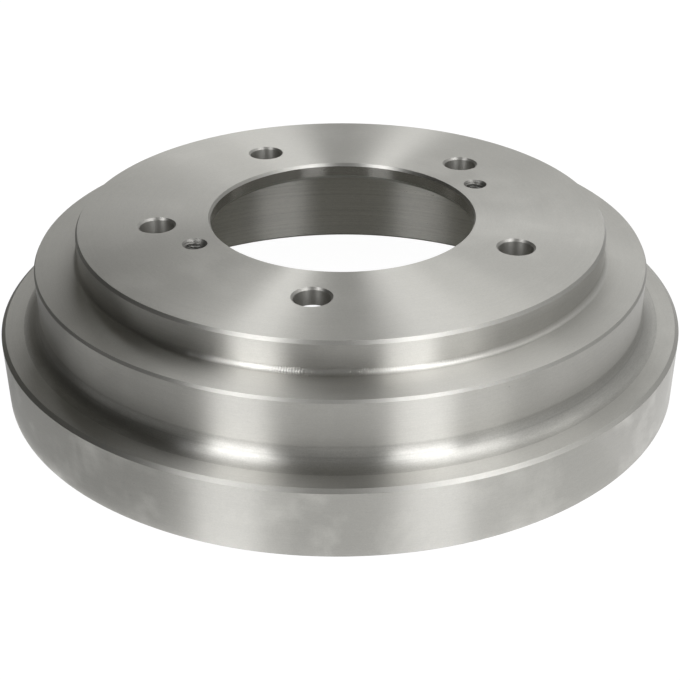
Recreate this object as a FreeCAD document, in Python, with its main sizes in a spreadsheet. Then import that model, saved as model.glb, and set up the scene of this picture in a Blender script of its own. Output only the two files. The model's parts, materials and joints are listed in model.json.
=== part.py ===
# Brake drum, turned from one grey iron casting.
# It lies on its open mouth: the origin is the centre of the mouth's rim, and +Z runs along
# the axle towards the face that the wheel bolts against. Millimetres and degrees.
import FreeCAD, Part
import math
import os

import Sketcher

NODE = "brake_drum"
SAME_PLACE = 1e-4

# Every size that can be set by itself
SIZES = {
    # Rings, from the friction surface outwards
    "friction_diameter": 220.0,
    "friction_wall": 5.5,
    "flange_width": 14.5,
    "shoulder_width": 16.0,
    # Heights, from the wheel face down and from the mouth up
    "overall_height": 60.7,
    "nose_depth": 11.6,
    "flange_height": 25.7,
    # Section of the web, the nose and the shoulder
    "web_thickness": 6.5,
    "nose_wall": 6.0,
    "shoulder_thickness": 6.4,
    # Groove in the rim that the backing plate's lip runs in
    "lip_groove_wall": 6.0,
    "lip_groove_width": 8.0,
    "lip_groove_depth": 12.0,
    # Hub bore, stud holes and jacking holes
    "bore_diameter": 100.0,
    "stud_circle": 139.7,
    "stud_hole_diameter": 12.8,
    "stud_countersink": 14.4,
    "stud_count": 5,
    "stud_bearing": 117.5,
    "jack_land": 10.0,
    "jack_lead_angle": 90.0,
    "jack_hole_diameter": 6.8,
    "jack_countersink": 9.2,
    "jack_count": 2,
    "countersink_angle": 90.0,
    # Edges
    "nose_chamfer_width": 0.8,
    "nose_chamfer_height": 1.2,
    "ring_chamfer_width": 0.6,
    "ring_chamfer_height": 1.1,
    "flange_chamfer_width": 1.5,
    "flange_chamfer_height": 1.0,
    "rim_chamfer": 0.6,
    "mouth_chamfer": 1.2,
    "bore_chamfer": 1.0,
    # Inner corners
    "nose_root_radius": 2.0,
    "ring_root_radius": 6.3,
    "friction_root_bevel": 2.0,
    "pocket_root_bevel": 3.0,
}

# Radii and heights that follow from the sizes
DERIVED = {
    "friction_radius": "friction_diameter / 2",
    "ring_radius": "friction_radius + friction_wall",
    "outer_radius": "ring_radius + flange_width",
    "nose_radius": "ring_radius - shoulder_width",
    "pocket_radius": "nose_radius - nose_wall",
    "bore_radius": "bore_diameter / 2",
    "shoulder_level": "overall_height - nose_depth",
    "shoulder_underside": "shoulder_level - shoulder_thickness",
    "web_underside": "overall_height - web_thickness",
    "groove_inner_radius": "friction_radius + lip_groove_wall",
    "groove_outer_radius": "groove_inner_radius + lip_groove_width",
    "stud_radius": "stud_circle / 2",
    "jack_radius": "bore_radius + jack_land",
    "jack_bearing": "stud_bearing + jack_lead_angle",
    "turn": "360",
}

# Half section of the drum, corner by corner: radius, height
SECTION = (
    ("bore_radius", "overall_height"),
    ("nose_radius", "overall_height"),
    ("nose_radius", "shoulder_level"),
    ("ring_radius", "shoulder_level"),
    ("ring_radius", "flange_height"),
    ("outer_radius", "flange_height"),
    ("outer_radius", None),
    ("friction_radius", None),
    ("friction_radius", "shoulder_underside"),
    ("pocket_radius", "shoulder_underside"),
    ("pocket_radius", "web_underside"),
    ("bore_radius", "web_underside"),
)

# Half section of the groove in the rim, open at the mouth
LIP_GROOVE = (
    ("groove_inner_radius", "lip_groove_depth"),
    ("groove_outer_radius", "lip_groove_depth"),
    ("groove_outer_radius", None),
    ("groove_inner_radius", None),
)

# Corners that are rounded: name of the radius, and the corner's radius and height
ROUNDED = (
    ("nose_root_radius", "nose_radius", "shoulder_level"),
    ("ring_root_radius", "ring_radius", "flange_height"),
)

# Edges that are bevelled at 45 degrees: name of the size, and the edge's radius and height
BEVELLED = (
    ("rim_chamfer", "outer_radius", None),
    ("mouth_chamfer", "friction_radius", None),
    ("bore_chamfer", "bore_radius", "overall_height"),
    ("bore_chamfer", "bore_radius", "web_underside"),
    ("friction_root_bevel", "friction_radius", "shoulder_underside"),
    ("pocket_root_bevel", "pocket_radius", "web_underside"),
)

doc = FreeCAD.newDocument("BrakeDrum")


def write_sheet():
    """The driving sizes as plain numbers, and below them the sizes that follow."""
    sheet = doc.addObject("Spreadsheet::Sheet", "Sizes")
    rows = list(SIZES.items()) + [(name, "=" + rule) for name, rule in DERIVED.items()]
    for row, (name, content) in enumerate(rows, start=1):
        sheet.set(f"A{row}", name)
        sheet.set(f"B{row}", str(content))
        sheet.setAlias(f"B{row}", name)
    doc.recompute()
    return sheet


sizes = write_sheet()


def size(name):
    """The present value of a size, for a first sketch of the geometry."""
    return 0.0 if name is None else float(sizes.get(name))


def origin_part(body, role):
    """One of the body's own origin planes or axes."""
    return next(item for item in body.Origin.OriginFeatures if item.Role == role)


def new_sketch(body, name, role):
    sketch = body.newObject("Sketcher::SketchObject", name)
    sketch.AttachmentSupport = (origin_part(body, role), [""])
    sketch.MapMode = "FlatFace"
    return sketch


def hold(sketch, constraint, name):
    """Adds a dimension to a sketch and ties it to a size of the sheet."""
    index = sketch.addConstraint(constraint)
    sketch.setExpression(f"Constraints[{index}]", f"Sizes.{name}")


def section_sketch(body, name, corners):
    """A closed outline of upright and level lines, each held at its radius or its height."""
    sketch = new_sketch(body, name, "XZ_Plane")
    points = [FreeCAD.Vector(size(radius), size(height), 0) for radius, height in corners]
    count = len(corners)
    for i in range(count):
        sketch.addGeometry(Part.LineSegment(points[i], points[(i + 1) % count]), False)
    for i in range(count):
        after = (i + 1) % count
        sketch.addConstraint(Sketcher.Constraint("Coincident", i, 2, after, 1))
    for i in range(count):
        radius, height = corners[i]
        if radius == corners[(i + 1) % count][0]:
            sketch.addConstraint(Sketcher.Constraint("Vertical", i))
            hold(sketch, Sketcher.Constraint("DistanceX", -1, 1, i, 1, size(radius)), radius)
        else:
            sketch.addConstraint(Sketcher.Constraint("Horizontal", i))
            if height is None:
                sketch.addConstraint(Sketcher.Constraint("PointOnObject", i, 1, -1))
            else:
                hold(sketch, Sketcher.Constraint("DistanceY", -1, 1, i, 1, size(height)), height)
    doc.recompute()
    return sketch


def turned(body, kind, name, sketch):
    """A full turn of a half section about the drum's axis: kind is Revolution or Groove."""
    feature = body.newObject(f"PartDesign::{kind}", name)
    feature.Profile = sketch
    feature.ReferenceAxis = (sketch, ["V_Axis"])
    feature.setExpression("Angle", "Sizes.turn")
    doc.recompute()
    return feature


def edges_at(feature, radius, height):
    """Names of the circular edges about the drum's axis with this radius and height."""
    names = []
    for index, edge in enumerate(feature.Shape.Edges, start=1):
        if not isinstance(edge.Curve, Part.Circle):
            continue
        centre = FreeCAD.Vector(0, 0, height)
        on_axis = edge.Curve.Center.isEqual(centre, SAME_PLACE)
        if on_axis and abs(edge.Curve.Radius - radius) < SAME_PLACE:
            names.append(f"Edge{index}")
    return names


def dress(body, kind, name, base, corners, **sizes_of):
    """Fillets or chamfers on the edges at the given corners, all of one size."""
    feature = body.newObject(f"PartDesign::{kind}", name)
    edges = []
    for radius, height in corners:
        found = edges_at(base, size(radius), size(height))
        if not found:
            raise ValueError(f"{name}: the drum has no edge at {radius}, {height}")
        edges += found
    feature.Base = (base, edges)
    for setting, value in sizes_of.items():
        feature.setExpression(setting, f"Sizes.{value}")
    return feature


def dress_groups(body, kind, setting, rows, base):
    """One feature for each size in rows, with all the corners that have that size."""
    for used in dict.fromkeys(row[0] for row in rows):
        corners = [row[1:] for row in rows if row[0] == used]
        base = dress(body, kind, used, base, corners, **{setting: used})
        doc.recompute()
    return base


def wide_chamfer(body, name, base, corner, width, height):
    """A bevel that is not at 45 degrees: its width lies on the level face of the corner."""
    feature = dress(body, "Chamfer", name, base, [corner], Size=width, Size2=height)
    feature.ChamferType = "Two distances"
    doc.recompute()
    radius, level = size(corner[0]), size(corner[1])
    if not edges_at(feature, radius - size(width), level):
        feature.FlipDirection = True
        doc.recompute()
    if not edges_at(feature, radius - size(width), level):
        raise ValueError(f"{name}: the bevel does not have its width on the level face")
    return feature


def hole_pattern(body, name, circle_radius, bearing, diameter, countersink, count):
    """Countersunk holes through the web, drilled from the wheel face and repeated round it."""
    sketch = new_sketch(body, f"{name}_centre", "XY_Plane")
    sketch.AttachmentOffset = FreeCAD.Placement(
        FreeCAD.Vector(0, 0, size("overall_height")), FreeCAD.Rotation())
    sketch.setExpression("AttachmentOffset.Base.z", "Sizes.overall_height")
    angle = math.radians(size(bearing))
    centre = FreeCAD.Vector(math.cos(angle), math.sin(angle), 0) * size(circle_radius)
    spoke = sketch.addGeometry(Part.LineSegment(FreeCAD.Vector(0, 0, 0), centre), True)
    mark = sketch.addGeometry(Part.Circle(centre, FreeCAD.Vector(0, 0, 1), size(diameter) / 2), False)
    sketch.addConstraint(Sketcher.Constraint("Coincident", spoke, 1, -1, 1))
    sketch.addConstraint(Sketcher.Constraint("Coincident", mark, 3, spoke, 2))
    hold(sketch, Sketcher.Constraint("Distance", spoke, size(circle_radius)), circle_radius)
    hold(sketch, Sketcher.Constraint("Angle", -1, 1, spoke, 1, angle), f"{bearing} * 1 deg")
    hold(sketch, Sketcher.Constraint("Diameter", mark, size(diameter)), diameter)
    doc.recompute()

    hole = body.newObject("PartDesign::Hole", name)
    hole.Profile = sketch
    doc.recompute()
    hole.Threaded = False
    hole.ThreadType = "None"
    hole.DepthType = "ThroughAll"
    hole.HoleCutType = "Countersink"
    hole.HoleCutCustomValues = True
    hole.setExpression("Diameter", f"Sizes.{diameter}")
    hole.setExpression("HoleCutDiameter", f"Sizes.{countersink}")
    hole.setExpression("HoleCutCountersinkAngle", "Sizes.countersink_angle")
    doc.recompute()

    pattern = body.newObject("PartDesign::PolarPattern", f"{name}s")
    pattern.Originals = [hole]
    pattern.Axis = (origin_part(body, "Z_Axis"), [""])
    pattern.setExpression("Angle", "Sizes.turn")
    pattern.setExpression("Occurrences", f"Sizes.{count}")
    body.Tip = pattern
    doc.recompute()
    return pattern


def brake_drum():
    """The drum as it is made: turned to its section, bevelled, then drilled."""
    body = doc.addObject("PartDesign::Body", "BrakeDrum")
    body.Label = NODE
    stage = turned(body, "Revolution", "turned_blank", section_sketch(body, "section", SECTION))
    stage = turned(body, "Groove", "lip_groove", section_sketch(body, "lip_section", LIP_GROOVE))
    stage = dress_groups(body, "Fillet", "Radius", ROUNDED, stage)
    stage = dress_groups(body, "Chamfer", "Size", BEVELLED, stage)
    stage = wide_chamfer(body, "nose_edge", stage, ("nose_radius", "overall_height"),
                         "nose_chamfer_width", "nose_chamfer_height")
    stage = wide_chamfer(body, "ring_edge", stage, ("ring_radius", "shoulder_level"),
                         "ring_chamfer_width", "ring_chamfer_height")
    stage = wide_chamfer(body, "flange_edge", stage, ("outer_radius", "flange_height"),
                         "flange_chamfer_width", "flange_chamfer_height")
    hole_pattern(body, "stud_hole", "stud_radius", "stud_bearing",
                 "stud_hole_diameter", "stud_countersink", "stud_count")
    hole_pattern(body, "jack_hole", "jack_radius", "jack_bearing",
                 "jack_hole_diameter", "jack_countersink", "jack_count")
    return body


drum = brake_drum()

for item in doc.Objects:
    if "Invalid" in item.State or "Error" in item.State:
        raise RuntimeError(f"{item.Name} did not compute: {item.State}")
if drum.Shape.isNull() or not drum.Shape.isValid() or len(drum.Shape.Solids) != 1:
    raise RuntimeError("the drum is not one valid solid")

os.makedirs("parts", exist_ok=True)
drum.Shape.exportStep(f"parts/{drum.Label}.step")
box = drum.Shape.optimalBoundingBox(False)
print(f"{drum.Label}: {box.XLength:.2f} x {box.YLength:.2f} x {box.ZLength:.2f} mm,"
      f" {drum.Shape.Volume / 1000:.1f} cm3, {len(drum.Shape.Faces)} faces")
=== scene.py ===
import json
import math
from collections import namedtuple

import bpy
from mathutils import Matrix, Vector


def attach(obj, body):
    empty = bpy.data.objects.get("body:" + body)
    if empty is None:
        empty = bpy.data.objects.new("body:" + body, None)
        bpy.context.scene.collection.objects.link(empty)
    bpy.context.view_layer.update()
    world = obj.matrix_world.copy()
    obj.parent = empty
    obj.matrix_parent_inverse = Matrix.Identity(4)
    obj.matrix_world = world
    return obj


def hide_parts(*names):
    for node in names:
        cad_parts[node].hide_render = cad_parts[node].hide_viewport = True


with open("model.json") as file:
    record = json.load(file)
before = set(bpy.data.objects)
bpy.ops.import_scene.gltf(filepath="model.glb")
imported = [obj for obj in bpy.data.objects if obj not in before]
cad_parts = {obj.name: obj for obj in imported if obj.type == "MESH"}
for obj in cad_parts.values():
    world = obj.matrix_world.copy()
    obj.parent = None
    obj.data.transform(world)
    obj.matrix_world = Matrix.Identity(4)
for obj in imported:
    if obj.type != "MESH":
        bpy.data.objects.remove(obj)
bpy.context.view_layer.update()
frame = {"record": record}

# A cast iron brake drum, turned all over, standing on its open mouth. Lengths are in metres
# and angles in radians, but those of the studio's lamps, cards, cloths and floor patches are in
# degrees.

MM = 0.001
QUARTER_TURN = math.radians(90)
MOUNTS = {mount["name"]: mount for mount in frame["record"]["mounts"]}


def mount_size(name, key):
    """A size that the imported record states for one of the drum's mounts, in metres."""
    return MOUNTS[name]["dims"][key] * MM


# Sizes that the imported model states
HEIGHT = MOUNTS["wheel_face"]["pos_m"][2]
WEB_UNDERSIDE = MOUNTS["hub_seat"]["pos_m"][2]
FRICTION_RADIUS = mount_size("friction_surface", "r_mm")
BORE_RADIUS = mount_size("hub_bore", "r_mm")
STUD_CIRCLE_RADIUS = mount_size("stud_holes", "pcd_mm") / 2
STUD_HOLE_RADIUS = mount_size("stud_holes", "hole_r_mm")
STUD_COUNT = MOUNTS["stud_holes"]["dims"]["count"]
JACK_HOLE_RADIUS = mount_size("jacking_hole_a", "r_mm")
JACK_PLACE = Vector(MOUNTS["jacking_hole_a"]["pos_m"])
JACK_CIRCLE_RADIUS = JACK_PLACE.xy.length

# The two jacking holes lie opposite each other, a quarter turn from the first stud hole
JACK_COUNT = 2
JACK_BEARING = math.atan2(JACK_PLACE.y, JACK_PLACE.x)
STUD_BEARING = JACK_BEARING - QUARTER_TURN

# Sizes of the section between those
FRICTION_WALL = 5.5 * MM
FLANGE_WIDTH = 14.5 * MM
SHOULDER_WIDTH = 16.0 * MM
NOSE_DEPTH = 11.6 * MM
FLANGE_HEIGHT = 25.7 * MM
NOSE_WALL = 6.0 * MM
SHOULDER_THICKNESS = 6.4 * MM
GROOVE_WALL = 6.0 * MM
GROOVE_WIDTH = 8.0 * MM
GROOVE_DEPTH = 12.0 * MM

RING_RADIUS = FRICTION_RADIUS + FRICTION_WALL
OUTER_RADIUS = RING_RADIUS + FLANGE_WIDTH
NOSE_RADIUS = RING_RADIUS - SHOULDER_WIDTH
POCKET_RADIUS = NOSE_RADIUS - NOSE_WALL
SHOULDER_LEVEL = HEIGHT - NOSE_DEPTH
SHOULDER_UNDERSIDE = SHOULDER_LEVEL - SHOULDER_THICKNESS
GROOVE_INNER = FRICTION_RADIUS + GROOVE_WALL
GROOVE_OUTER = GROOVE_INNER + GROOVE_WIDTH

# Edges and corners: a bevel has a width and a height, and a rounding is just its radius
Bevel = namedtuple("Bevel", "width height")
NOSE_BEVEL = Bevel(0.8 * MM, 1.2 * MM)
RING_BEVEL = Bevel(0.6 * MM, 1.1 * MM)
FLANGE_BEVEL = Bevel(1.5 * MM, 1.0 * MM)
RIM_BEVEL = Bevel(0.6 * MM, 0.6 * MM)
MOUTH_BEVEL = Bevel(1.2 * MM, 1.2 * MM)
BORE_BEVEL = Bevel(0.7 * MM, 1.2 * MM)
BROKEN_EDGE = Bevel(0.2 * MM, 0.2 * MM)
NOSE_ROOT = 2.0 * MM
RING_ROOT = 6.3 * MM
FRICTION_ROOT = 2.0 * MM
POCKET_ROOT = 3.0 * MM
GROOVE_ROOT = 0.8 * MM

# Holes
STUD_SINK_RADIUS = 7.2 * MM
JACK_SINK_RADIUS = 4.6 * MM
THREAD_PITCH = 1.25 * MM
THREAD_ROOT_RADIUS = 4.0 * MM
THREAD_ROOT_FLAT = THREAD_PITCH / 16
THREAD_FLANK = math.radians(30)

# How finely the turned surfaces are divided, and how they are closed and shaded
SEGMENTS = 360
ROUNDING_STEPS = 10
EDGE_SUPPORT = 0.15 * MM
LONG_LINE = 10 * EDGE_SUPPORT
SEAM_GAP = 0.001 * MM
SHARP_EDGE = math.radians(25)

# How finely the tools that cut the holes are divided, and how far they reach past the web
DRILL_SEGMENTS = 64
TAP_SEGMENTS = 48
THREAD_ROWS = 10
TOOL_REACH = 1.0 * MM

# The finishes, in the order of their numbers in the "finish" attribute, with the values that
# iron_finish() takes
FINISHES = {
    "faced": dict(roughness=0.36),
    "turned": dict(roughness=0.36, rings=0.04, scratches=0.07, line=32.2),
    "outer": dict(roughness=0.32, scratches=0.06, clouds=0.11),
    "plunged": dict(roughness=0.30, tone=0.92, grain=0.12, chatter=4.5),
    "rounded": dict(roughness=0.33, tone=0.82, rings=0.08, scratches=0.14, grain=0.16,
                    chatter=0.5, line=28.6),
    "bevelled": dict(roughness=0.42, tone=0.86, spread=0.82, pits=0.0),
    "bored": dict(roughness=0.20, tone=0.95, grain=0.03, pits=0.0),
    "braking": dict(roughness=0.34, tone=1.35, rings=0.20, scratches=0.16, grain=0.12,
                    pits=0.4, line=9.7),
    "inside": dict(roughness=0.42, feed=0.4, rings=0.14, depth=0.008),
    "drilled": dict(roughness=0.46, tone=0.75, spread=0.75, rings=0.0, depth=0.002,
                    own_axis=True),
    "tapped": dict(roughness=0.42, tone=0.45, spread=0.0, rings=0.0, scratches=0.0, pits=0.0,
                   own_axis=True),
}
FINISH_NUMBER = {name: number for number, name in enumerate(FINISHES)}

# Kinds of sockets
WHOLE = "NodeSocketInt"
NUMBER = "NodeSocketFloat"
OBJECT = "NodeSocketObject"
GEOMETRY = "NodeSocketGeometry"


def add_node(tree, kind, inputs=None, **settings):
    """A new node, with its settings, and its sockets set to values or linked to other sockets."""
    node = tree.nodes.new(kind)
    for name, value in settings.items():
        setattr(node, name, value)
    for key, value in (inputs or {}).items():
        if isinstance(value, bpy.types.NodeSocket):
            tree.links.new(value, node.inputs[key])
        else:
            node.inputs[key].default_value = value
    return node


def calculate(tree, operation, *values):
    """A Math node's result."""
    node = add_node(tree, "ShaderNodeMath", dict(enumerate(values)), operation=operation)
    return node.outputs[0]


def new_group(name, kind, inputs, outputs):
    """An empty node group with named sockets, and its two end nodes."""
    tree = bpy.data.node_groups.new(name, kind)
    for title, socket, value in inputs:
        made = tree.interface.new_socket(title, in_out="INPUT", socket_type=socket)
        if value is not None:
            made.default_value = value
    for title, socket in outputs:
        tree.interface.new_socket(title, in_out="OUTPUT", socket_type=socket)
    return tree, tree.nodes.new("NodeGroupInput").outputs, tree.nodes.new("NodeGroupOutput")


def new_material(name):
    """A material and its node tree, still empty."""
    material = bpy.data.materials.new(name)
    material.use_nodes = True
    material.node_tree.nodes.clear()
    return material, material.node_tree


def add_object(data):
    """An object of the scene, named after its mesh, lamp or camera."""
    made = bpy.data.objects.new(data.name, data)
    bpy.context.scene.collection.objects.link(made)
    return made


# The drum's section

def corner(radius, height, cut, finish, rounding="inside"):
    """A corner: its place, its cut, the finish of the line after it, and that of the cut."""
    return Vector((radius, height)), cut, finish, "bevelled" if isinstance(cut, Bevel) else rounding


def section_corners():
    """Round the section, from the wheel face outwards, down, and back up the inside."""
    return (
        corner(BORE_RADIUS, HEIGHT, BORE_BEVEL, "faced"),
        corner(NOSE_RADIUS, HEIGHT, NOSE_BEVEL, "turned"),
        corner(NOSE_RADIUS, SHOULDER_LEVEL, NOSE_ROOT, "faced", "plunged"),
        corner(RING_RADIUS, SHOULDER_LEVEL, RING_BEVEL, "turned"),
        corner(RING_RADIUS, FLANGE_HEIGHT, RING_ROOT, "faced", "rounded"),
        corner(OUTER_RADIUS, FLANGE_HEIGHT, FLANGE_BEVEL, "outer"),
        corner(OUTER_RADIUS, 0.0, RIM_BEVEL, "faced"),
        corner(GROOVE_OUTER, 0.0, BROKEN_EDGE, "inside"),
        corner(GROOVE_OUTER, GROOVE_DEPTH, GROOVE_ROOT, "inside"),
        corner(GROOVE_INNER, GROOVE_DEPTH, GROOVE_ROOT, "inside"),
        corner(GROOVE_INNER, 0.0, BROKEN_EDGE, "faced"),
        corner(FRICTION_RADIUS, 0.0, MOUTH_BEVEL, "braking"),
        corner(FRICTION_RADIUS, SHOULDER_UNDERSIDE, FRICTION_ROOT, "inside"),
        corner(POCKET_RADIUS, SHOULDER_UNDERSIDE, BROKEN_EDGE, "inside"),
        corner(POCKET_RADIUS, WEB_UNDERSIDE, POCKET_ROOT, "faced"),
        corner(BORE_RADIUS, WEB_UNDERSIDE, BORE_BEVEL, "bored"),
    )


def cut_corner(before, place, after, cut):
    """The points that a bevel or a rounding puts in a corner's place."""
    back, ahead = (before - place).normalized(), (after - place).normalized()
    if isinstance(cut, Bevel):
        return [place + side * (cut.width if abs(side.x) > abs(side.y) else cut.height)
                for side in (back, ahead)]
    centre = place + (back + ahead) * cut
    turns = [QUARTER_TURN * step / ROUNDING_STEPS for step in range(ROUNDING_STEPS + 1)]
    return [centre - (ahead * math.cos(turn) + back * math.sin(turn)) * cut for turn in turns]


def section_outline():
    """The section's points in order, and the finish of the line that leaves each of them."""
    corners = section_corners()
    points, finishes = [], []
    for number, (place, cut, finish, cut_finish) in enumerate(corners):
        before, after = corners[number - 1][0], corners[(number + 1) % len(corners)][0]
        cut_points = cut_corner(before, place, after, cut)
        points += cut_points
        finishes += [cut_finish] * (len(cut_points) - 1) + [finish]
    return with_supports(points, finishes)


def with_supports(points, finishes):
    """Adds a point near both ends of each long line, which keeps the line's shading flat."""
    full, full_finishes = [], []
    for number, (point, finish) in enumerate(zip(points, finishes)):
        line = points[(number + 1) % len(points)] - point
        full.append(point)
        full_finishes.append(finish)
        if line.length > LONG_LINE:
            inset = line.normalized() * EDGE_SUPPORT
            full += [point + inset, point + line - inset]
            full_finishes += [finish, finish]
    return full, full_finishes


def section_object():
    """The section as a closed line in the XZ plane, with each edge's finish."""
    points, finishes = section_outline()
    count = len(points)
    mesh = bpy.data.meshes.new("brake_drum_body")
    edges = [(number, (number + 1) % count) for number in range(count)]
    mesh.from_pydata([(point.x, 0.0, point.y) for point in points], edges, [])
    marks = mesh.attributes.new("finish", "INT", "EDGE")
    marks.data.foreach_set("value", [FINISH_NUMBER[name] for name in finishes])
    return add_object(mesh)


# The tools that cut the holes

def on_circle(radius, turn, height):
    return radius * math.cos(turn), radius * math.sin(turn), height


def tool_object(name, points, faces, finish):
    """A closed solid that cuts a hole and leaves its own finish there."""
    mesh = bpy.data.meshes.new(name)
    mesh.from_pydata(points, [], faces)
    marks = mesh.attributes.new("finish", "INT", "FACE")
    marks.data.foreach_set("value", [FINISH_NUMBER[finish]] * len(mesh.polygons))
    return add_object(mesh)


def stud_drill():
    """Drill and countersink for a stud hole, standing on the drum's axis."""
    sink_depth = STUD_SINK_RADIUS - STUD_HOLE_RADIUS
    profile = (
        (STUD_HOLE_RADIUS, WEB_UNDERSIDE - TOOL_REACH),
        (STUD_HOLE_RADIUS, HEIGHT - sink_depth),
        (STUD_SINK_RADIUS, HEIGHT),
        (STUD_SINK_RADIUS + TOOL_REACH, HEIGHT + TOOL_REACH),
    )
    turns = [math.tau * step / DRILL_SEGMENTS for step in range(DRILL_SEGMENTS)]
    points = [on_circle(radius, turn, height) for radius, height in profile for turn in turns]
    faces = []
    for ring in range(len(profile) - 1):
        low, high = ring * DRILL_SEGMENTS, (ring + 1) * DRILL_SEGMENTS
        for step in range(DRILL_SEGMENTS):
            ahead = (step + 1) % DRILL_SEGMENTS
            faces.append((low + step, low + ahead, high + ahead, high + step))
    faces.append(tuple(reversed(range(DRILL_SEGMENTS))))
    faces.append(tuple(range(len(points) - DRILL_SEGMENTS, len(points))))
    return tool_object("stud_drill", points, faces, "drilled")


def thread_radius(height):
    """Radius of the tapped hole along one side, with a root of the thread at height 0."""
    from_root = abs((height / THREAD_PITCH + 0.5) % 1 - 0.5) * THREAD_PITCH
    flank = max(0.0, from_root - THREAD_ROOT_FLAT) / math.tan(THREAD_FLANK)
    return max(JACK_HOLE_RADIUS, THREAD_ROOT_RADIUS - flank)


def jack_tap():
    """Tap and countersink for a jacking hole: its rows of points climb with the thread."""
    low, high = WEB_UNDERSIDE - TOOL_REACH, HEIGHT + TOOL_REACH
    foot, top = 0, 1
    points, faces = [(0.0, 0.0, low), (0.0, 0.0, high)], []

    # The rows start a turn of the thread below the foot and end above the top. What would lie
    # past either gathers in its middle.
    rows = math.ceil((high - low) / THREAD_PITCH + 2) * THREAD_ROWS
    ids = {}
    for column in range(TAP_SEGMENTS):
        turn = math.tau * column / TAP_SEGMENTS
        for row in range(rows + 1):
            rise = THREAD_PITCH * (row / THREAD_ROWS + column / TAP_SEGMENTS - 1)
            height = low + rise
            if not low < height < high:
                ids[column, row] = foot if height <= low else top
                continue
            thread = thread_radius(rise - THREAD_PITCH * column / TAP_SEGMENTS)
            sink = JACK_SINK_RADIUS - (HEIGHT - height)
            ids[column, row] = len(points)
            points.append(on_circle(max(thread, sink), turn, height))

    # After a whole turn each row meets the one that has climbed by the pitch
    for row in range(rows + 1):
        ids[TAP_SEGMENTS, row] = ids.get((0, row + THREAD_ROWS), top)

    for column in range(TAP_SEGMENTS):
        for row in range(rows):
            square = (ids[column, row], ids[column + 1, row],
                      ids[column + 1, row + 1], ids[column, row + 1])
            face = tuple(dict.fromkeys(square))
            if len(face) > 2:
                faces.append(face)
    return tool_object("jack_tap", points, faces, "tapped")


# The drum as a rule: its section turned about Z, less the tools set round the axis

def turning_tree(materials):
    """Geometry nodes that turn the section, cut the holes and lay on the finishes."""
    tree, given, result = new_group("turned_drum", "GeometryNodeTree", (
        ("Section", GEOMETRY, None),
        ("Segments", WHOLE, SEGMENTS),
        ("Stud Drill", OBJECT, None),
        ("Stud Count", WHOLE, STUD_COUNT),
        ("Stud Circle Radius", NUMBER, STUD_CIRCLE_RADIUS),
        ("Stud Bearing", NUMBER, STUD_BEARING),
        ("Jack Tap", OBJECT, None),
        ("Jack Count", WHOLE, JACK_COUNT),
        ("Jack Circle Radius", NUMBER, JACK_CIRCLE_RADIUS),
        ("Jack Bearing", NUMBER, JACK_BEARING),
    ), (("Drum", GEOMETRY),))

    blank = turned_blank(tree, given["Section"], given["Segments"])
    cut = add_node(tree, "GeometryNodeMeshBoolean", {0: blank},
                   operation="DIFFERENCE", solver="MANIFOLD")
    for hole, tool in (("Stud", "Drill"), ("Jack", "Tap")):
        tools = tools_round(tree, given[f"{hole} {tool}"], given[f"{hole} Count"],
                            given[f"{hole} Circle Radius"], given[f"{hole} Bearing"])
        tree.links.new(tools, cut.inputs[1])
    drum = add_node(tree, "GeometryNodeRealizeInstances", {0: cut.outputs[0]}).outputs[0]

    finish = finish_mark(tree)
    for number, material in enumerate(materials):
        chosen = add_node(tree, "FunctionNodeCompare", {2: finish, 3: number},
                          data_type="INT", operation="EQUAL").outputs[0]
        drum = add_node(tree, "GeometryNodeSetMaterial",
                        {"Geometry": drum, "Selection": chosen, "Material": material}).outputs[0]
    tree.links.new(drum, result.inputs["Drum"])
    return tree


def finish_mark(tree):
    """The number of the finish that a line of the section or a face of the drum has."""
    return add_node(tree, "GeometryNodeInputNamedAttribute", {"Name": "finish"},
                    data_type="INT").outputs["Attribute"]


def turned_blank(tree, section, segments):
    """A grid wrapped round the axis: its rows follow the section, its columns the turn."""
    rows = add_node(tree, "GeometryNodeAttributeDomainSize", {0: section}).outputs["Point Count"]
    column_length = calculate(tree, "ADD", rows, 1)
    grid = add_node(tree, "GeometryNodeMeshGrid", {
        "Vertices X": calculate(tree, "ADD", segments, 1), "Vertices Y": column_length,
    }).outputs["Mesh"]

    index = add_node(tree, "GeometryNodeInputIndex").outputs[0]
    column = calculate(tree, "FLOOR", calculate(tree, "DIVIDE", index, column_length))
    in_column = calculate(tree, "FLOORED_MODULO", index, column_length)
    row = calculate(tree, "FLOORED_MODULO", in_column, rows)
    turn = calculate(tree, "DIVIDE", calculate(tree, "MULTIPLY", column, math.tau), segments)
    place = add_node(tree, "GeometryNodeInputPosition").outputs[0]
    point = add_node(tree, "GeometryNodeSampleIndex",
                     {"Geometry": section, "Value": place, "Index": row},
                     data_type="FLOAT_VECTOR", domain="POINT").outputs[0]
    parts = add_node(tree, "ShaderNodeSeparateXYZ", {0: point}).outputs
    wrapped = add_node(tree, "ShaderNodeCombineXYZ", {
        "X": calculate(tree, "MULTIPLY", parts["X"], calculate(tree, "COSINE", turn)),
        "Y": calculate(tree, "MULTIPLY", parts["X"], calculate(tree, "SINE", turn)),
        "Z": parts["Z"],
    }).outputs[0]
    surface = add_node(tree, "GeometryNodeSetPosition",
                       {"Geometry": grid, "Position": wrapped}).outputs[0]

    line = calculate(tree, "FLOORED_MODULO", index, rows)
    finish = add_node(tree, "GeometryNodeSampleIndex",
                      {"Geometry": section, "Value": finish_mark(tree), "Index": line},
                      data_type="INT", domain="EDGE").outputs[0]
    marked = add_node(tree, "GeometryNodeStoreNamedAttribute",
                      {"Geometry": surface, "Name": "finish", "Value": finish},
                      data_type="INT", domain="FACE").outputs[0]
    closed = add_node(tree, "GeometryNodeMergeByDistance",
                      {"Geometry": marked, "Distance": SEAM_GAP}).outputs[0]
    return add_node(tree, "GeometryNodeFlipFaces", {0: closed}).outputs[0]


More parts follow.
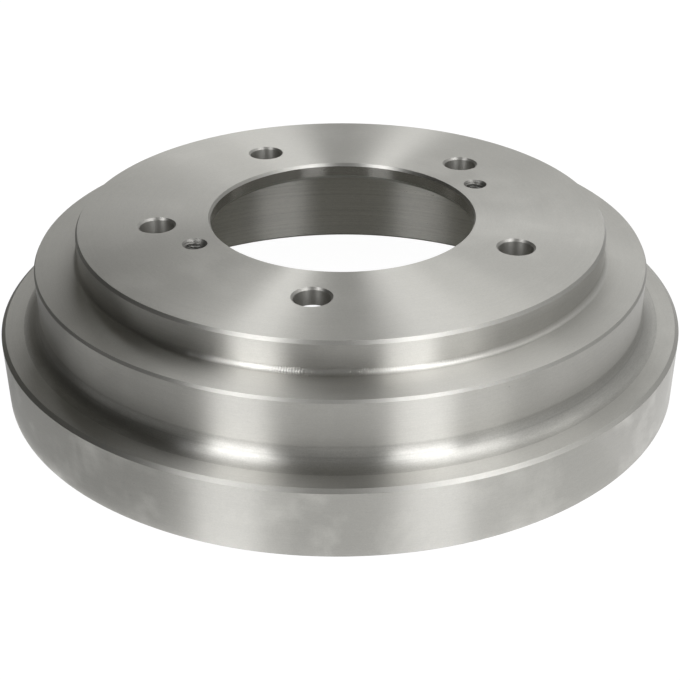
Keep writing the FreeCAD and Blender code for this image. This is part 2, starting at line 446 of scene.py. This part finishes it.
def tools_round(tree, tool, count, radius, bearing):
    """Copies of a tool standing on a circle about the axis, the first at the bearing."""
    index = add_node(tree, "GeometryNodeInputIndex").outputs[0]
    step = calculate(tree, "DIVIDE", calculate(tree, "MULTIPLY", index, math.tau), count)
    turn = calculate(tree, "ADD", bearing, step)
    place = add_node(tree, "ShaderNodeCombineXYZ", {
        "X": calculate(tree, "MULTIPLY", radius, calculate(tree, "COSINE", turn)),
        "Y": calculate(tree, "MULTIPLY", radius, calculate(tree, "SINE", turn)),
    }).outputs[0]
    points = add_node(tree, "GeometryNodePoints", {"Count": count, "Position": place}).outputs[0]
    shape = add_node(tree, "GeometryNodeObjectInfo", {"Object": tool}).outputs["Geometry"]
    copies = add_node(tree, "GeometryNodeInstanceOnPoints",
                      {"Points": points, "Instance": shape}).outputs[0]
    return add_node(tree, "GeometryNodeRealizeInstances", {0: copies}).outputs[0]


def brake_drum(materials):
    """Runs the tree on the section and keeps the result as one plain mesh."""
    section = section_object()
    tools = {"Stud Drill": stud_drill(), "Jack Tap": jack_tap()}
    tree = turning_tree(materials)
    turning = section.modifiers.new("turning", "NODES")
    turning.node_group = tree
    for socket in tree.interface.items_tree:
        if socket.name in tools:
            turning[socket.identifier] = tools[socket.name]
    evaluated = section.evaluated_get(bpy.context.evaluated_depsgraph_get())
    mesh = bpy.data.meshes.new_from_object(evaluated)
    section.modifiers.remove(turning)
    section.data = mesh
    # The blank has no material, and that leaves an empty first slot
    if not mesh.materials[0]:
        mesh.materials.pop(index=0)
    for tool in tools.values():
        bpy.data.objects.remove(tool)
    mesh.shade_smooth()
    mesh.set_sharp_from_angle(angle=SHARP_EDGE)
    return section


# Finishes

IRON = (0.56, 0.55, 0.52)

# Noise lies round its middle, mostly within a quarter of it
NOISE_MIDDLE = 0.5
NOISE_ROUGHNESS = 0.6

# Chatter ripples round the drum. Noise of this width moves the ripples by up to these radians.
CHATTER_WIDTH = 2.0 * MM
CHATTER_WANDER = 12.0

# The line where one pass of the tool ended is full up to one distance from its level and gone
# at the other. It is broken where the noise of the scratches is low.
LINE_FULL = 0.1 * MM
LINE_GONE = 0.3 * MM
LINE_BROKEN = 0.35
LINE_WHOLE = 0.6

# Pits and clouds start and are full at these values of their noise. The start of the pits
# drops with their share.
PIT_START = 0.80
PIT_START_DROP = 0.2
PIT_FULL = 0.82
CLOUD_START = 0.5
CLOUD_FULL = 0.7

# How much pits and lines darken the iron, and how much the shares that a finish gives to its
# marks and clouds weigh in its tone and in its roughness: what is paler is also smoother
PIT_DARKNESS = 0.6
LINE_DARKNESS = 0.15
MARK_TONE = 2
MARK_GLOSS = -3
CLOUD_GLOSS = -2

# Heights of scratches and ridges and the depth of pits, against the height of the rings
SCRATCH_HEIGHT = 0.6
RIDGE_HEIGHT = 0.2
PIT_DEPTH = 4.0

# Highlights are drawn out a quarter turn from the run of the marks
ACROSS_MARKS = 0.25


def ring_place(tree):
    """A point's distance from the axis, its height, and its direction from the axis."""
    place = add_node(tree, "ShaderNodeTexCoord").outputs["Object"]
    parts = add_node(tree, "ShaderNodeSeparateXYZ", {0: place}).outputs
    flat = add_node(tree, "ShaderNodeCombineXYZ", {"X": parts["X"], "Y": parts["Y"]}).outputs[0]
    radius = add_node(tree, "ShaderNodeVectorMath", {0: flat}, operation="LENGTH").outputs["Value"]
    outward = add_node(tree, "ShaderNodeVectorMath", {0: flat}, operation="NORMALIZE").outputs[0]
    return radius, parts["Z"], outward


def ring_noise(tree, along, outward, *, width, turns, detail):
    """Noise drawn out round the axis, with its width across the rings.

    Turns says how often it changes on its way round.
    """
    around = add_node(tree, "ShaderNodeVectorMath", {0: outward, "Scale": turns},
                      operation="SCALE").outputs[0]
    turned = add_node(tree, "ShaderNodeSeparateXYZ", {0: around}).outputs
    drawn = add_node(tree, "ShaderNodeCombineXYZ", {
        "X": calculate(tree, "DIVIDE", along, width), "Y": turned["X"], "Z": turned["Y"],
    }).outputs[0]
    return add_node(tree, "ShaderNodeTexNoise", {
        "Vector": drawn, "Scale": 1.0, "Detail": detail, "Roughness": NOISE_ROUGHNESS,
    }).outputs["Fac"]


def turning_marks():
    """Rings left by the tool: they follow the section from the bore outwards and downwards."""
    tree, given, result = new_group("turning_marks", "ShaderNodeTree", (
        ("Feed", NUMBER, 0.3 * MM),
        ("Ring Width", NUMBER, 1.0 * MM),
        ("Scratch Width", NUMBER, 0.25 * MM),
        ("Scratches Round", NUMBER, 40.0),
        ("Chatter Round", NUMBER, 680.0),
        ("Line Level", NUMBER, 0.0),
    ), (
        ("Ridges", NUMBER), ("Rings", NUMBER), ("Scratches", NUMBER),
        ("Chatter", NUMBER), ("Line", NUMBER),
    ))
    radius, level, outward = ring_place(tree)
    along = calculate(tree, "SUBTRACT", radius, level)

    feed = calculate(tree, "DIVIDE", calculate(tree, "MULTIPLY", along, math.tau), given["Feed"])
    tree.links.new(calculate(tree, "SINE", feed), result.inputs["Ridges"])
    rings = ring_noise(tree, along, outward, width=given["Ring Width"], turns=1.2, detail=4.0)
    tree.links.new(rings, result.inputs["Rings"])
    scratches = ring_noise(tree, along, outward, width=given["Scratch Width"],
                           turns=given["Scratches Round"], detail=2.0)
    tree.links.new(scratches, result.inputs["Scratches"])

    turned = add_node(tree, "ShaderNodeSeparateXYZ", {0: outward}).outputs
    bearing = calculate(tree, "ARCTAN2", turned["Y"], turned["X"])
    wander = ring_noise(tree, along, outward, width=CHATTER_WIDTH, turns=30.0, detail=1.0)
    ripple = calculate(tree, "ADD", calculate(tree, "MULTIPLY", bearing, given["Chatter Round"]),
                       calculate(tree, "MULTIPLY", wander, CHATTER_WANDER))
    chatter = calculate(tree, "MULTIPLY", calculate(tree, "SINE", ripple), wander)
    tree.links.new(calculate(tree, "ADD", chatter, NOISE_MIDDLE), result.inputs["Chatter"])

    away = calculate(tree, "ABSOLUTE", calculate(tree, "SUBTRACT", level, given["Line Level"]))
    line = add_node(tree, "ShaderNodeMapRange", {
        "Value": away, "From Min": LINE_FULL, "From Max": LINE_GONE, "To Min": 1.0, "To Max": 0.0,
    }).outputs[0]
    broken = add_node(tree, "ShaderNodeMapRange", {
        "Value": scratches, "From Min": LINE_BROKEN, "From Max": LINE_WHOLE,
    }).outputs[0]
    tree.links.new(calculate(tree, "MULTIPLY", line, broken), result.inputs["Line"])
    return tree


def iron_grain():
    """The casting's open grain, small dark pits, and the slow changes of tone of a handled part."""
    tree, given, result = new_group("iron_grain", "ShaderNodeTree", (
        ("Grain Size", NUMBER, 0.5 * MM),
        ("Pit Size", NUMBER, 1.1 * MM),
        ("Pit Share", NUMBER, 0.3),
        ("Cloud Size", NUMBER, 18.0 * MM),
    ), (("Grain", NUMBER), ("Pits", NUMBER), ("Clouds", NUMBER)))
    place = add_node(tree, "ShaderNodeTexCoord").outputs["Object"]

    def noise(size, detail, drift=0.0):
        return add_node(tree, "ShaderNodeTexNoise", {
            "Vector": place, "Scale": calculate(tree, "DIVIDE", 1.0, size), "Detail": detail,
            "Roughness": NOISE_ROUGHNESS, "Distortion": drift,
        }).outputs["Fac"]

    tree.links.new(noise(given["Grain Size"], detail=2.0), result.inputs["Grain"])
    start = calculate(tree, "SUBTRACT", PIT_START,
                      calculate(tree, "MULTIPLY", given["Pit Share"], PIT_START_DROP))
    pits = add_node(tree, "ShaderNodeMapRange", {
        "Value": noise(given["Pit Size"], detail=2.0), "From Min": start, "From Max": PIT_FULL,
    }).outputs[0]
    tree.links.new(pits, result.inputs["Pits"])
    clouds = add_node(tree, "ShaderNodeMapRange", {
        "Value": noise(given["Cloud Size"], detail=4.0, drift=0.2),
        "From Min": CLOUD_START, "From Max": CLOUD_FULL,
    }).outputs[0]
    tree.links.new(clouds, result.inputs["Clouds"])
    return tree


def mixed(tree, weights):
    """A sum of values, each measured from the middle of noise and times its weight."""
    total = None
    for value, weight in weights:
        off_middle = calculate(tree, "SUBTRACT", value, NOISE_MIDDLE)
        part = calculate(tree, "MULTIPLY", off_middle, weight)
        total = part if total is None else calculate(tree, "ADD", total, part)
    return total


def run_of_marks(tree, own_axis):
    """Which way the marks run: round the drum's axis, or round that of the hole they are in."""
    if not own_axis:
        return add_node(tree, "ShaderNodeTangent", direction_type="RADIAL", axis="Z").outputs[0]
    normal = add_node(tree, "ShaderNodeNewGeometry").outputs["True Normal"]
    around = add_node(tree, "ShaderNodeVectorMath", {0: (0, 0, 1), 1: normal},
                      operation="CROSS_PRODUCT").outputs[0]
    return add_node(tree, "ShaderNodeVectorMath", {0: around}, operation="NORMALIZE").outputs[0]


def iron_finish(name, groups, *, roughness, tone=1.0, spread=1.0, feed=0.3, rings=0.03,
                scratches=0.05, grain=0.09, clouds=0.03, pits=0.1, chatter=0.0, line=None,
                depth=0.004, own_axis=False):
    """Bare iron with the marks of its machining, which run round the drum's axis or a hole's own.

    Tone makes the iron paler or darker, and spread draws out its highlights. Rings, scratches,
    grain and clouds say how much each changes the tone, pits how many there are, and chatter
    how high it stands against the rings. Feed, depth and the height of the line where one pass
    of the tool ended are in mm.
    """
    material, tree = new_material(name)
    marks_group, grain_group = groups
    marks = add_node(tree, "ShaderNodeGroup", {"Feed": feed * MM}, node_tree=marks_group)
    body = add_node(tree, "ShaderNodeGroup", {"Pit Share": pits}, node_tree=grain_group).outputs

    darker = calculate(tree, "MULTIPLY", body["Pits"], PIT_DARKNESS)
    if line is not None:
        marks.inputs["Line Level"].default_value = line * MM
        ended = calculate(tree, "MULTIPLY", marks.outputs["Line"], LINE_DARKNESS)
        darker = calculate(tree, "ADD", darker, ended)
    marks = marks.outputs
    change = mixed(tree, ((marks["Rings"], rings * MARK_TONE),
                          (marks["Scratches"], scratches * MARK_TONE),
                          (body["Grain"], grain * MARK_TONE),
                          (body["Clouds"], clouds)))
    shade = calculate(tree, "SUBTRACT", calculate(tree, "ADD", change, 1.0), darker)
    shade = calculate(tree, "MULTIPLY", shade, tone)
    colour = add_node(tree, "ShaderNodeVectorMath", {0: IRON, "Scale": shade},
                      operation="SCALE").outputs[0]
    gloss = mixed(tree, ((marks["Rings"], rings * MARK_GLOSS),
                         (marks["Scratches"], scratches * MARK_GLOSS),
                         (body["Clouds"], clouds * CLOUD_GLOSS)))
    rough = calculate(tree, "MULTIPLY", calculate(tree, "ADD", gloss, 1.0), roughness)

    height = mixed(tree, ((marks["Rings"], 1.0),
                          (marks["Scratches"], SCRATCH_HEIGHT),
                          (marks["Chatter"], chatter)))
    ridges = calculate(tree, "MULTIPLY", marks["Ridges"], RIDGE_HEIGHT)
    height = calculate(tree, "ADD", height, ridges)
    sunk = calculate(tree, "MULTIPLY", body["Pits"], PIT_DEPTH)
    height = calculate(tree, "SUBTRACT", height, sunk)
    bump = add_node(tree, "ShaderNodeBump", {"Distance": depth * MM, "Height": height}).outputs[0]

    shader = add_node(tree, "ShaderNodeBsdfPrincipled", {
        "Base Color": colour, "Metallic": 1.0, "Roughness": rough,
        "Anisotropic": spread, "Anisotropic Rotation": ACROSS_MARKS,
        "Normal": bump, "Tangent": run_of_marks(tree, own_axis),
    }).outputs[0]
    add_node(tree, "ShaderNodeOutputMaterial", {"Surface": shader})
    return material


def iron_finishes():
    """One material for each finish, in their order."""
    groups = turning_marks(), iron_grain()
    return [iron_finish(f"{name}_iron", groups, **values) for name, values in FINISHES.items()]


# Studio

CAMERA_PLACE = Vector((0.0, -0.4379, 0.2537))
CAMERA_AIM = Vector((0.0165, -0.0209, 0.0166))
CAMERA_ROLL = math.radians(0.80)
CAMERA_LENS = 66.2
CAMERA_SENSOR = 36.0
CAMERA_SHIFT = -0.068
CAMERA_NEAR = 0.01

DRUM_MIDDLE = Vector((0.0, 0.0, HEIGHT / 2))
FLOOR_RADIUS = 2.6
FLOOR_SIDES = 60
FLOOR_PAINT = (0.09, 0.09, 0.09, 1)
FLOOR_GLOW = 0.97
ROOM_GREY = 0.45

# Lamps and cards face the drum from these distances, and a card bends every few degrees.
# Patches of painted shade lie just over the floor, from beside the drum's foot to near the floor's
# edge, with one of dark floor among them, and painted shadow lies under the drum.
LAMP_DISTANCE = 2.0
CARD_DISTANCE = 2.6
CARD_STEP = 6
FLOOR_PATCH_HEIGHT = 0.2 * MM
FLOOR_PATCH_END = 2.5
BY_DRUM = OUTER_RADIUS + 2.0 * MM
UNDER_DRUM = OUTER_RADIUS + 0.2 * MM

# Lamps shine a touch cool, and greys that are no paler than the dark one a touch warm
LAMP_COLOUR = (0.993, 1.0, 1.012)
PALE_COLOUR = (0.995, 1.0, 0.99, 1)
DARK_COLOUR = (1.01, 1.0, 0.9, 1)
DARK_GREY = 0.2


def aimed(place, aim, roll=0.0):
    """Stands something at a place, facing an aim."""
    turn = (aim - place).to_track_quat("-Z", "Y").to_matrix().to_4x4()
    return Matrix.Translation(place) @ turn @ Matrix.Rotation(roll, 4, "Z")


def way(bearing, rise):
    """A direction from the drum: its bearing is turned from the front, the right being positive."""
    turn, rise = math.radians(bearing), math.radians(rise)
    return Vector((math.sin(turn) * math.cos(rise), -math.cos(turn) * math.cos(rise),
                   math.sin(rise)))


def photo_camera():
    data = bpy.data.cameras.new("photo_camera")
    data.lens = CAMERA_LENS
    data.sensor_width = CAMERA_SENSOR
    data.shift_x = CAMERA_SHIFT
    data.clip_start = CAMERA_NEAR
    camera = add_object(data)
    camera.matrix_world = aimed(CAMERA_PLACE, CAMERA_AIM, CAMERA_ROLL)
    bpy.context.scene.camera = camera


def soft_box(name, bearing, rise, width, height, brightness, roll=0.0):
    """A rectangular lamp that faces the drum. Its width and height are the angles it fills."""
    data = bpy.data.lights.new(name, "AREA")
    data.shape = "RECTANGLE"
    data.color = LAMP_COLOUR
    data.size = 2 * LAMP_DISTANCE * math.tan(math.radians(width / 2))
    data.size_y = 2 * LAMP_DISTANCE * math.tan(math.radians(height / 2))
    data.energy = brightness * math.pi * data.size * data.size_y
    lamp = add_object(data)
    lamp.matrix_world = aimed(DRUM_MIDDLE + way(bearing, rise) * LAMP_DISTANCE, DRUM_MIDDLE,
                              math.radians(roll))
    lamp.visible_camera = False


def card_paint(name, grey, fade):
    """A grey that shines by itself. It may fade to white between two places in X."""
    paint, tree = new_material(name)
    colour = PALE_COLOUR if grey > DARK_GREY else DARK_COLOUR
    shade = add_node(tree, "ShaderNodeEmission", {"Color": colour, "Strength": grey})
    if fade:
        place = add_node(tree, "ShaderNodeTexCoord").outputs["Object"]
        across = add_node(tree, "ShaderNodeSeparateXYZ", {0: place}).outputs["X"]
        faded = add_node(tree, "ShaderNodeMapRange", {
            "Value": across, "From Min": fade[0], "From Max": fade[1],
            "To Min": grey, "To Max": 1.0,
        }).outputs[0]
        tree.links.new(faded, shade.inputs["Strength"])
    add_node(tree, "ShaderNodeOutputMaterial", {"Surface": shade.outputs[0]})
    return paint


def shown_card(name, corner_at, columns, rows, grey, fade=None):
    """A card, cloth or floor patch that shows in the metal and nowhere else."""
    points = [corner_at(column / columns, row / rows)
              for row in range(rows + 1) for column in range(columns + 1)]
    faces = []
    for row in range(rows):
        for column in range(columns):
            low = row * (columns + 1) + column
            high = low + columns + 1
            faces.append((low, high, high + 1, low + 1))
    mesh = bpy.data.meshes.new(name)
    mesh.from_pydata(points, [], faces)
    mesh.materials.append(card_paint(name, grey, fade))
    made = add_object(mesh)
    made.visible_camera = False
    made.visible_diffuse = False
    made.visible_shadow = False


def between(ends, share):
    return ends[0] + (ends[1] - ends[0]) * share


def steps_between(ends):
    return math.ceil((ends[1] - ends[0]) / CARD_STEP)


def wall_card(name, bearings, rises, grey):
    """A card or cloth that hangs curved round the drum."""
    def corner_at(across, up):
        return way(between(bearings, across), between(rises, up)) * CARD_DISTANCE
    shown_card(name, corner_at, steps_between(bearings), steps_between(rises), grey)


def dark_floor_and_painted_shade(name, bearings, radii, grey, fade=None):
    """A patch just over the floor, in a part of a ring round the drum's axis: painted shade, but
    dark floor at the right.
    """
    def corner_at(across, out):
        flat = way(between(bearings, across), 0) * between(radii, out)
        return flat + Vector((0, 0, FLOOR_PATCH_HEIGHT))
    shown_card(name, corner_at, steps_between(bearings), 1, grey, fade)


def shows_background(tree):
    """1 where a ray is the camera's, or a reflection's or a see-through one's, else 0."""
    path = add_node(tree, "ShaderNodeLightPath").outputs
    seen = calculate(tree, "MAXIMUM", path["Is Camera Ray"], path["Is Glossy Ray"])
    return calculate(tree, "MAXIMUM", seen, path["Is Transmission Ray"])


def pale_floor():
    """A round white floor. Part of its white is its own, so that the drum's shadow stays faint."""
    points = [way(360 * side / FLOOR_SIDES, 0) * FLOOR_RADIUS for side in range(FLOOR_SIDES)]
    mesh = bpy.data.meshes.new("floor")
    mesh.from_pydata(points, [], [tuple(range(FLOOR_SIDES))])
    paint, tree = new_material("floor_paint")
    coat = add_node(tree, "ShaderNodeBsdfDiffuse", {"Color": FLOOR_PAINT}).outputs[0]
    strength = calculate(tree, "MULTIPLY", shows_background(tree), FLOOR_GLOW)
    glow = add_node(tree, "ShaderNodeEmission", {"Strength": strength}).outputs[0]
    both = add_node(tree, "ShaderNodeAddShader", {0: coat, 1: glow}).outputs[0]
    add_node(tree, "ShaderNodeOutputMaterial", {"Surface": both})
    mesh.materials.append(paint)
    add_object(mesh)


def white_room():
    """A white background, which lights the drum no more than a grey room would."""
    world = bpy.data.worlds.new("room")
    world.use_nodes = True
    tree = world.node_tree
    back = tree.nodes["Background"]
    back.inputs["Color"].default_value = (1, 1, 1, 1)
    strength = add_node(tree, "ShaderNodeMapRange", {
        "Value": shows_background(tree), "To Min": ROOM_GREY, "To Max": 1.0,
    }).outputs[0]
    tree.links.new(strength, back.inputs["Strength"])
    bpy.context.scene.world = world


def studio():
    """Floor, room, four lamps, the cards and cloths that the drum mirrors, and painted floor shade.

    A lamp has its bearing, rise, width, height and brightness. A card has its bearings, rises
    and grey, and a patch on the floor, painted shade and dark floor alike, its bearings, its radii
    and its grey.
    """
    pale_floor()
    white_room()
    soft_box("left_box", -36.5, 29, 20, 56, 3.5, roll=7)
    soft_box("left_top_box", -57, 58, 20, 15, 2.8)
    soft_box("right_box", 28, 27, 20, 54, 3.3, roll=-7)
    soft_box("right_top_box", 55, 57, 30, 18, 2.7)
    for name, bearings, rises, grey in (
        ("back_left_cloth", (-168, -130), (0, 32), 0.08),
        ("back_left_high_cloth", (-160, -130), (32, 50), 0.15),
        ("left_cloth", (-130, -50), (0, 50), 0.025),
        ("left_ceiling_cloth", (-138, -50), (50, 68), 0.05),
        ("front_left_cloth", (-50, -25), (0, 68), 0.11),
        ("front_mid_cloth", (-25, 15), (0, 68), 0.25),
        ("front_cloth", (15, 45), (0, 68), 0.06),
        ("front_right_card", (45, 75), (0, 32), 0.63),
        ("right_card", (75, 145), (0, 32), 0.5),
        ("right_high_card", (45, 62), (32, 50), 2.5),
        ("side_high_card", (62, 125), (32, 47), 0.8),
        ("right_ceiling_card", (78, 112), (47, 68), 1.05),
        ("back_right_card", (145, 165), (0, 32), 0.8),
        ("back_right_high_card", (125, 165), (32, 47), 0.8),
        ("back_right_ceiling_card", (112, 148), (47, 72), 1.9),
        ("back_card", (165, 187), (0, 32), 1.0),
        ("back_high_card", (165, 182), (32, 50), 0.8),
        ("back_left_high_card", (182, 205), (32, 50), 1.16),
        ("back_ceiling_card", (148, 188), (47, 68), 0.36),
        ("back_left_ceiling_card", (-172, -138), (50, 72), 1.25),
        ("high_right_card", (60, 122), (68, 78), 1.4),
        ("high_back_cloth", (122, 188), (68, 78), 0.25),
        ("high_left_cloth", (-138, 60), (68, 78), 0.1),
        ("ceiling", (-180, 180), (78, 90), 0.15),
    ):
        wall_card(name, bearings, rises, grey)
    # Painted shade on the floor, seen only in the metal: at the left, fading to white towards the
    # front; behind on the left, where the drum's shadow falls; and faintly in front, beside its
    # foot. The patch at the right is dark floor.
    dark_floor_and_painted_shade("left_floor_cloth", (-85, -8), (BY_DRUM, FLOOR_PATCH_END), 0.6, fade=(-0.09, -0.03))
    dark_floor_and_painted_shade("back_left_floor_cloth", (-175, -85), (0.17, FLOOR_PATCH_END), 0.22)
    dark_floor_and_painted_shade("front_floor_cloth", (-8, 50), (BY_DRUM, 0.45), 0.91)
    dark_floor_and_painted_shade("right_floor_cloth", (50, 135), (0.25, FLOOR_PATCH_END), 0.3)
    # Painted shadow: a dark grey under the drum and inside its mouth that only the metal shows, for
    # the shadow the drum casts on the floor there
    dark_floor_and_painted_shade("felt", (-180, 180), (0.0, UNDER_DRUM), 0.12)


drum = brake_drum(iron_finishes())
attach(drum, "root")
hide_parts("brake_drum")
studio()
photo_camera()
bpy.context.scene.view_settings.view_transform = "Standard"
